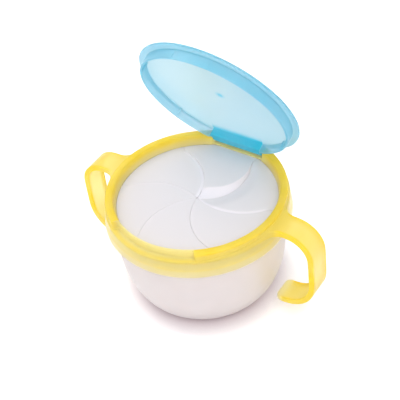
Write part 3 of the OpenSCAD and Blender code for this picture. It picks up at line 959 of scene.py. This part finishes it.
# %% Lid columns
LUG_HALF = 15.5
THIN_HALF, THIN_CUT = 51.0, 0.45         # degrees from the hinge, and depth
RIB_PLACES = (51.0, 115.0)               # degrees from the hinge
RIB_HALF, RIB_OUT = 0.8, 0.8             # degrees, and height
CATCH_HALF, CATCH_CUT = 14.0, 0.45


def lid_columns():
    """Angles of one half, from the front middle to the lug, closer at the catch, the two
    ribs and the thin sector, then the columns that keep one x across the lug."""
    far_rib, near_rib = 90 - RIB_PLACES[1], 90 - RIB_PLACES[0]
    near = np.array([-1.5, -RIB_HALF, -RIB_HALF + 0.35, RIB_HALF - 0.35, RIB_HALF, 1.5])
    angles = np.concatenate([
        np.linspace(-90, -78, 3), -90 + CATCH_HALF + np.array([-0.6, -0.2, 0.2, 0.6]),
        np.linspace(-69, -32, 6), far_rib + near, np.linspace(-17, 31, 7), near_rib + near,
        [46, 53, 59, 63]])
    x = np.array([1.1, 0.5, -0.05, -0.5, -5.5, -10.5, -LUG_HALF]) + LUG_HALF
    return angles, x


print("columns round half the lid:", len(np.concatenate(lid_columns())))

# %% [markdown]
# The surface is built in four moves. The first two change radii: the ribs, the thin
# sector and the catch push a few rows in or out over a few columns, and the plate's
# round edge is drawn in to a straight line beside the lug.

# %% Lid details
LID_R, PLUG_R = 46.4, 42.8
CORNER_Y = 41.2                          # the straight edge beside the lug
RIB_FOOT = -5.2                          # the ribs end above the plug's lower edge


def between(row, ends):
    """Whether a row number lies from the first to the last of two ends."""
    return (row >= ends[0]) & (row <= ends[1])


def plug_details(reach, z, from_hinge, on_lug):
    """Radii with the plug's details: plus the cut in the thin sector, minus the height of
    the ribs, minus the depth of the catch."""
    row = np.arange(len(LID_ROWS))
    inside, outside = between(row, PLUG_INSIDE), between(row, PLUG_OUTSIDE)
    thin = (from_hinge < THIN_HALF) & ~on_lug
    rib = np.min([abs(from_hinge - place) for place in RIB_PLACES], 0) < RIB_HALF - 0.2
    catch = from_hinge > 180 - CATCH_HALF
    reach = reach + THIN_CUT * thin[:, None] * inside
    reach = reach - RIB_OUT * rib[:, None] * (inside & (z > RIB_FOOT))
    return reach - CATCH_CUT * catch[:, None] * outside


def drawn_in(reach, angles, on_lug):
    """Beside the lug, radii outside the plug are squeezed to end at y = CORNER_Y, which
    is the radius CORNER_Y / sin a."""
    edge = np.minimum(LID_R, CORNER_Y / np.maximum(np.sin(np.radians(angles)), 0.1))
    start = PLUG_R + 0.05
    squeeze = (edge - start) / (LID_R - start)
    on_edge = np.arange(len(LID_ROWS)) < EDGE_ROWS
    outside = (reach > start) & on_edge & ~on_lug[:, None]
    return np.where(outside, start + (reach - start) * squeeze[:, None], reach)


print("the plate's edge is straight from", LUG_HALF, "to",
      round(math.sqrt(LID_R ** 2 - CORNER_Y ** 2), 1), "mm beside the middle")

# %% [markdown]
# The last two moves place the points. Every column gets its angle, or keeps its x
# across the lug. Then the crown is height added by radius, 2.4 mm in the middle, on the
# top and on the underside alike, so the plate stays one wall thick.

# %% Lid surface
CROWN, CROWN_OUT_R, CROWN_IN_R = 2.4, 42.0, 40.5
STRAIGHT_FROM = 30.0                     # from this radius out, the lug's columns keep x


def lid_points():
    """Each column is the lid's section at its angle, and across the lug it is the lug's
    section at one x. The crown adds c (1 - (r / R)^2) inside R, on top and underneath."""
    angles, flat_x = lid_columns()
    across = np.concatenate([np.full(len(angles), np.nan), flat_x])
    angles = np.concatenate([angles, np.degrees(np.arccos(flat_x / PLUG_R))])
    on_lug = across <= LUG_HALF
    section = np.where(on_lug[:, None, None], np.array(LUG_ROWS), np.array(LID_ROWS))
    z = section[..., 1].copy()
    reach = plug_details(section[..., 0], z, np.abs(90 - angles), on_lug)
    reach = drawn_in(reach, angles, on_lug)
    a = np.radians(angles)[:, None] + 0 * reach
    keeps_x = (~np.isnan(across))[:, None] & (section[..., 0] >= STRAIGHT_FROM)
    x_here = np.nan_to_num(across)[:, None]
    radius = np.where(on_lug[:, None], np.hypot(reach, x_here), reach)
    x = np.where(keeps_x, x_here, reach * np.cos(a))
    straight = np.sqrt(np.maximum(radius ** 2 - x_here ** 2, 0))
    y = np.where(keeps_x, straight, reach * np.sin(a))
    row = np.arange(len(LID_ROWS))
    top, under = row < len(TOP_ROWS), row >= len(LID_ROWS) - len(UNDER_ROWS)
    r = np.hypot(x, y)
    z += CROWN * (top * np.clip(1 - (r / CROWN_OUT_R) ** 2, 0, 1)
                  + under * np.clip(1 - (r / CROWN_IN_R) ** 2, 0, 1))
    half = np.stack([x, y, z], -1)
    other = half[-2:0:-1] * MIRRORED
    return np.concatenate([half, other]).transpose(1, 0, 2)


print("the shut lid's lowest point is", lid_points()[..., 2].min(), "mm from the rim's top")

# %% [markdown]
# The lid's panel is one thin wall, so it is nearly clear. The eye looks along the wall
# at its edge and on the plug ring, and through thick plastic at the lug, so the blue
# deepens there. In the middle of the underside is the small nub where the melt came in,
# and it is deeper still.

# %% Lid pigment
LID_PIGMENT = {"panel": 0.14, "edge": 0.44, "plug": 0.5, "thin": 0.45, "gate": 0.75, "lug": 0.95}
LUG_FRONT_Y, LUG_TOP_Z = 37.6, 1.0
BORDERS |= {
    "edge of the lid": (42.2, 0.8),          # outwards
    "round the gate": (1.0, 0.6),            # outwards
    "plug": (0.2, 0.3),                      # downwards
}


def lid_pigment(verts):
    """Pigment by place on the shut lid, with an eased step at each border: the panel, the
    edge, the gate's spot, the plug and its thin sector, and the lug."""
    x, y, z = verts.T
    r = np.hypot(x, y)
    level = toward(LID_PIGMENT["panel"], LID_PIGMENT["edge"], past(r, "edge of the lid"))
    at_gate = (1 - past(r, "round the gate")) * (z < CROWN + PLATE_HIGH / 2)
    level = toward(level, LID_PIGMENT["gate"], at_gate)
    from_hinge = np.degrees(np.arctan2(np.abs(x), y))
    thin = from_hinge < THIN_HALF - RIB_HALF
    plug = np.where(thin, LID_PIGMENT["thin"], LID_PIGMENT["plug"])
    level = toward(level, plug, past(-z, "plug"))
    on_lug = (np.abs(x) < LUG_HALF + 0.1) & (y > LUG_FRONT_Y) & (z < LUG_TOP_Z)
    return np.where(on_lug, LID_PIGMENT["lug"], level)


shut_verts, lid_faces = capped(lid_points()[::-1])
pigment = lid_pigment(shut_verts)
print("pigment from", pigment.min(), "to", pigment.max())

# %% [markdown]
# Now the lid swings open about the axis of its pins. The turn goes into the points, and
# the object itself stays unturned, so its place is all in its mesh.

# %% Lid
OPEN_ANGLE = 67.6


def swung_open(points):
    """Turns points of the shut lid about the pins' axis (y0, z0) by the angle at which it
    stands open: y0 + y cos a - z sin a, and z0 + y sin a + z cos a."""
    a = math.radians(-OPEN_ANGLE)
    y, z = points[..., 1] - HINGE_Y, points[..., 2] - HINGE_Z
    turned = [points[..., 0], HINGE_Y + y * math.cos(a) - z * math.sin(a),
              RIM + HINGE_Z + y * math.sin(a) + z * math.cos(a)]
    return np.stack(turned, -1)


lid = new_piece("lid_moulding", swung_open(shut_verts), lid_faces, blue, 2,
                pigment=pigment, haze=pigment)
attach(lid, "lid")
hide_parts("lid")

# %% [markdown]
# The two pins are moulded on the lug's ends and snap into the sockets. A pin is a short
# rod with a chamfered end, which lets it spring in, and it starts inside the lug so that
# no gap can show. It turns with the lid, so it rides on the lid's body.

# %% Hinge pins
PIN_R, PIN_START, PIN_END, PIN_CHAMFER = 1.0, 15.0, 17.1, 0.25
for side, label in ((1, "right"), (-1, "left")):
    shut = rod(PIN_R, (side * PIN_START, side * PIN_END), PIN_CHAMFER)
    verts, faces = capped(swung_open(shut))
    dense = np.full(len(verts), LID_PIGMENT["lug"])
    pin = new_piece(f"hinge_pin_{label}", verts, faces, blue, 1, pigment=dense, haze=dense)
    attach(pin, "lid")

# %% [markdown]
# The six flaps are one sheet cut by six arcs that meet in the middle. The cuts are never
# quite closed: each flap's clockwise margin hangs a little, some more than others, and
# one pair has been pushed apart, so that a wide margin is folded down from a crisp
# crease and its neighbour dips to show it as a crescent, made bright by its slope and by
# a painted highlight. Each flap is a closed slab with its own columns across the fold,
# so that the crease follows a line of points.

# %% Flap cuts
FLAP_COUNT = 6
STEP = math.radians(360 / FLAP_COUNT)
SLIT_END_R, SLIT_ARC_R, SLIT_W = 39.7, 32.2, 0.03
FIRST_SLIT = 13.0          # plan angle of the first slit's outer end, in degrees


def slit_angle(radius):
    """Plan angle of the first slit at a radius. The slit is an arc of radius R through
    the centre, so its angle grows by asin(r / 2R), and past its end it stays."""
    r = np.minimum(radius, SLIT_END_R)
    grown = np.arcsin(r / (2 * SLIT_ARC_R)) - math.asin(SLIT_END_R / (2 * SLIT_ARC_R))
    return math.radians(FIRST_SLIT) + grown


swirl = math.degrees(slit_angle(SLIT_END_R) - slit_angle(0.0))
print("from the middle to its end a slit swirls by", round(swirl, 1), "degrees")

# %% [markdown]
# A margin is the strip that hangs along one of a flap's cuts. How wide it is, how far it
# drops and how much painted highlight it carries are small functions of the radius, one
# list entry for each flap. Two flaps are special: flap_2, whose margin is folded down
# from a crease, and flap_1 beside it, which has sunk.

# %% Flap margins
MARGIN_W = 1.7
MARGIN_DROP = (0.4, 2.8, 0.4, 0.05, 0.05, 0.05)
# painted highlight along each flap's cut, one entry per flap
MARGIN_HIGHLIGHT = (0.9, 1.0, 0.9, 0.2, 0.2, 0.1)
FOLDED, SUNK = 1, 0                          # flap_2 and flap_1, counted from 0
CREASE_R, CREASE_W, CREASE_POWER = 8.2, 9.1, 1.6       # where the crease meets the tip
CREASE_FADE = (16, 38)                       # radii between which the crease dies out
CREASE_LEAST = 0.05
SUNK_W, SUNK_DROP = 12.0, 2.7
PARTED_SHIFT = 1.1                           # how far their cut has moved into flap_1
HANG_FADE = 9.0
BOW_SPAN, BOW_POWER = 40.0, 0.8


def margin_width(index, radius):
    """Distance from cut to crease. On the folded flap it is w (c / r)^1.6, fading out
    between 16 and 38 mm, so near the middle the fold takes in the whole tip."""
    if index != FOLDED:
        return MARGIN_W + 0 * radius
    fade = 1 - eased((radius - CREASE_FADE[0]) / (CREASE_FADE[1] - CREASE_FADE[0]))
    return CREASE_W * (CREASE_R / radius) ** CREASE_POWER * fade + CREASE_LEAST


def hang(radius):
    """How far along its length a margin hangs: 0 at the slit's end, 1 within 30 mm."""
    return eased((SLIT_END_R - 0.5 - radius) / HANG_FADE)


def bow(radius):
    """The same for the parted pair, as a bow: sin(pi (r + 1) / 40)^0.8."""
    sine = np.sin(np.pi * (radius + 1) / BOW_SPAN)
    return np.clip(sine, 0, 1) ** BOW_POWER * (radius < BOW_SPAN - 1)


print("20 mm out, margins hang by", float(hang(20.0)), "and the bow by", round(bow(20.0), 2))

# %% [markdown]
# A flap is a grid whose rows are radii. A row starts at one cut, crosses the margin in
# columns that are crowded at the crease, goes evenly to the other cut, and comes back
# underneath. The slab's edges are rounded by the subdivision, and a pair of columns
# close to each cut keeps that rounding small.

# %% Flap grid
FLAP_OUTER_R = 43.5
FLAP_RADII = np.concatenate([[0.5, 0.9, 1.6, 3.0], np.linspace(5, 37, 17),
                             [38.4, 39.2, 40.2, 41.5, 43.1, FLAP_OUTER_R]])
MARGIN_SHARE = np.array([0, 0.03, 0.12, 0.35, 0.65, 0.92, 1.0, 1.1])
MARGIN_MOST, FOLD_MOST = 0.42, 0.8           # of the flap's width at any radius
TO_FAR_CUT = np.concatenate([np.linspace(0, 0.84, 10)[1:], [0.92, 0.965, 0.988, 1]])


def flap_columns(index, crease):
    """Distances u, 0 to 1 from slit to slit, for each row: first shares of the crease's
    own u across the margin, then even steps to a close pair at the far cut."""
    near = MARGIN_SHARE * np.minimum(crease, FOLD_MOST if index == FOLDED else MARGIN_MOST)
    return np.concatenate([near, toward(near[:, -1:], 1, TO_FAR_CUT)], 1)


def there_and_back(over, under):
    """Numbers of the top face, then those of the underside in the opposite order."""
    return np.concatenate([over, under[:, ::-1]], 1)


print(len(FLAP_RADII), "rows, and", len(MARGIN_SHARE) + len(TO_FAR_CUT), "columns on each face")

# %% [markdown]
# The surface puts the pieces together: the cuts give each point its plan angle, and its
# height is the sheet's own, minus its thickness on the underside, minus what the margin
# hangs. The same numbers give the painted highlight along the margin.

# %% Flap surface
FLAP_T, FLAP_TOP = 1.2, -6.2
EDGE_HEIGHT = 0.97                           # the cut edge is a little lower
# the painted highlight: how sharply it begins, how far it spills over the crease, where it fades
SOFT_HIGHLIGHT, CRISP_HIGHLIGHT = 1.6, 6.0             # how sharply the pale margin begins
HIGHLIGHT_SPILL = 0.4                             # how much of it spills over the crease
HIGHLIGHT_END_R, HIGHLIGHT_FADE = 39.4, 2.0


def flap_points(index):
    """Columns go round the section: angle = slit + start + u (end - start), where start
    and end leave half the slit's width and the parted pair's shift. Height = top -
    thickness (1 - h) - fall, and the fall goes straight from the crease to the cut."""
    radius = FLAP_RADII[:, None]
    gap = np.where(radius < SLIT_END_R, SLIT_W / 2, 0)
    shift = PARTED_SHIFT * bow(radius)
    start = (gap - shift * (index == FOLDED)) / radius
    end = STEP - (gap + shift * (index == SUNK)) / radius
    wide = margin_width(index, radius) + shift * (index == FOLDED)
    u = flap_columns(index, wide / ((end - start) * radius))
    length = bow(radius) if index == FOLDED else hang(radius)
    along = 1 - u * (end - start) * radius / wide
    fall = MARGIN_DROP[index] * length * np.clip(along, 0, 1)
    # painted highlight along the margin, strongest at the cut
    sharp = CRISP_HIGHLIGHT if index == FOLDED else SOFT_HIGHLIGHT
    pale = MARGIN_HIGHLIGHT[index] * eased(along * sharp + HIGHLIGHT_SPILL)
    pale = pale * eased((HIGHLIGHT_END_R - radius) / HIGHLIGHT_FADE)
    if index == SUNK:
        fall = fall + SUNK_DROP * bow(radius) * eased(1 - (1 - u) * STEP * radius / SUNK_W)
    angle = slit_angle(radius) + index * STEP + start + u * (end - start)
    high = np.ones_like(u)
    high[:, [0, -1]] = EDGE_HEIGHT
    loop = there_and_back(angle, angle)
    z = FLAP_TOP - FLAP_T * (1 - there_and_back(high, 1 - high)) - there_and_back(fall, fall)
    points = np.stack([radius * np.cos(loop), radius * np.sin(loop), z + RIM], -1)
    return points[::-1], there_and_back(pale, pale)[::-1]


print("a flap is a grid of", flap_points(0)[1].shape)

# %% [markdown]
# The model's joint turns a flap as a stiff plate about the chord between its slits' ends.
# A real flap bends there instead. Here each flap is made where it rests, with its place
# baked into its points, and the model's flap is hidden.

for index in range(FLAP_COUNT):
    name = f"flap_{index + 1}"
    points, pale = flap_points(index)
    flap = new_piece(f"soft_{name}", *capped(points), soft, 1,
                     pale=np.concatenate([pale.ravel(), [0, 0]]))
    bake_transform(flap)
    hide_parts(name)

# %% [markdown]
# The rest of the diaphragm is hidden but seen through the yellow rim: a flat ring
# clamped between collar and bowl, and a seal that hangs inside the bowl. Both belong to
# one section turned about Z. It has no middle to close: the last row of the grid joins
# the first, which makes a ring.

# %% Diaphragm edge
CLAMP_R, SEAL_R, SEAL_T, SEAT = 46.9, 44.3, 1.1, -7.75


def diaphragm_edge():
    """A closed section of the clamped ring and its seal, turned about Z."""
    inner = FLAP_OUTER_R
    section = np.array([
        [inner, -6.35], [inner + 0.15, -6.2], [45.5, -6.2], [CLAMP_R - 0.15, -6.2],
        [CLAMP_R, -6.35], [CLAMP_R, SEAT + 0.15], [CLAMP_R - 0.15, SEAT], [45.5, SEAT],
        [SEAL_R, SEAT], [SEAL_R, -9.6], [SEAL_R - 0.35, -10.15],
        [SEAL_R - SEAL_T + 0.25, -10.15], [SEAL_R - SEAL_T, -9.8], [SEAL_R - SEAL_T, -7.6],
        [inner - 0.1, -7.4], [inner, -7.2]]) + [0, RIM]
    return around(section, np.arange(0, 360, 3))


points = diaphragm_edge()[::-1]
edge = new_piece("diaphragm_edge", points.reshape(-1, 3),
                 grid_faces(*points.shape[:2], wrap_rows=True).tolist(), soft, 1)
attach(edge, "collar")
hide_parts("diaphragm")

# %% [markdown]
# A low bead on each side stands up in the hollow rim and keeps the diaphragm from
# turning. Through the yellow wall it shows as a pale band, so it is made although
# nothing of it is ever bare. It is a small section carried round an arc, and mirrored.

# %% Locating beads
BEAD_R, BEAD_T, BEAD_TOP = 46.7, 0.95, -3.85
BEAD_START, BEAD_END = -53.5, 63.5           # plan angles, in degrees


def locating_bead():
    """A small upright section with eased top corners, carried round an arc."""
    inner = BEAD_R - BEAD_T
    section = np.array([
        [inner, -6.25], [inner, -5.0], [inner, BEAD_TOP - 0.3], [inner + 0.1, BEAD_TOP - 0.05],
        [inner + 0.3, BEAD_TOP], [BEAD_R - 0.3, BEAD_TOP], [BEAD_R - 0.1, BEAD_TOP - 0.05],
        [BEAD_R, BEAD_TOP - 0.3], [BEAD_R, -5.0], [BEAD_R, -6.25]]) + [0, RIM]
    return around(section, np.linspace(BEAD_START, BEAD_END, 48)).transpose(1, 0, 2)


for side, label in ((1, "right"), (-1, "left")):
    points = locating_bead() if side > 0 else (locating_bead() * MIRRORED)[:, ::-1]
    bead = new_piece(f"locating_bead_{label}", *capped(points), soft, 1)
    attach(bead, "collar")
